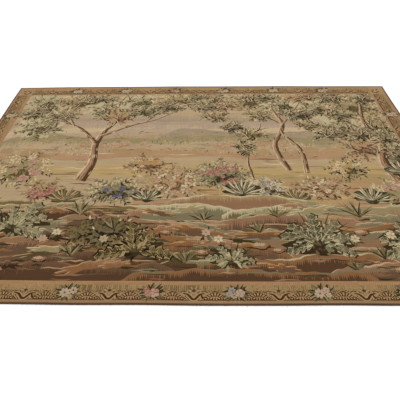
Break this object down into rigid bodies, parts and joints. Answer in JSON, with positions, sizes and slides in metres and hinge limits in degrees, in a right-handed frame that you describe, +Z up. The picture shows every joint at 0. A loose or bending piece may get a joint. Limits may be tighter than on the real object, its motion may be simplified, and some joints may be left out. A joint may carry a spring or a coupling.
{
  "type": "wool tapestry rug",
  "caption": "Flat woven wool rug with a leafy tapestry field, a scrolled flower border and a dark sewn edge binding, lying flat.",
  "frame": {"origin": "on the floor, under the middle of the rug", "axes": "+X runs along the long edges to the right, +Y from the front long edge to the back one, +Z up"},
  "size_m": [2.7425, 1.8319, 0.0036],
  "materials": {
    "woven_wool": "matt hand-woven wool weft in muted tans, greens and browns",
    "edge_tape": "matt dark brown wool tape with sewn stitches"
  },
  "bodies": {
    "root": {"woven_cloth": "woven_wool", "binding_front": "edge_tape", "binding_back": "edge_tape", "binding_left": "edge_tape", "binding_right": "edge_tape"}
  },
  "joints": []
}
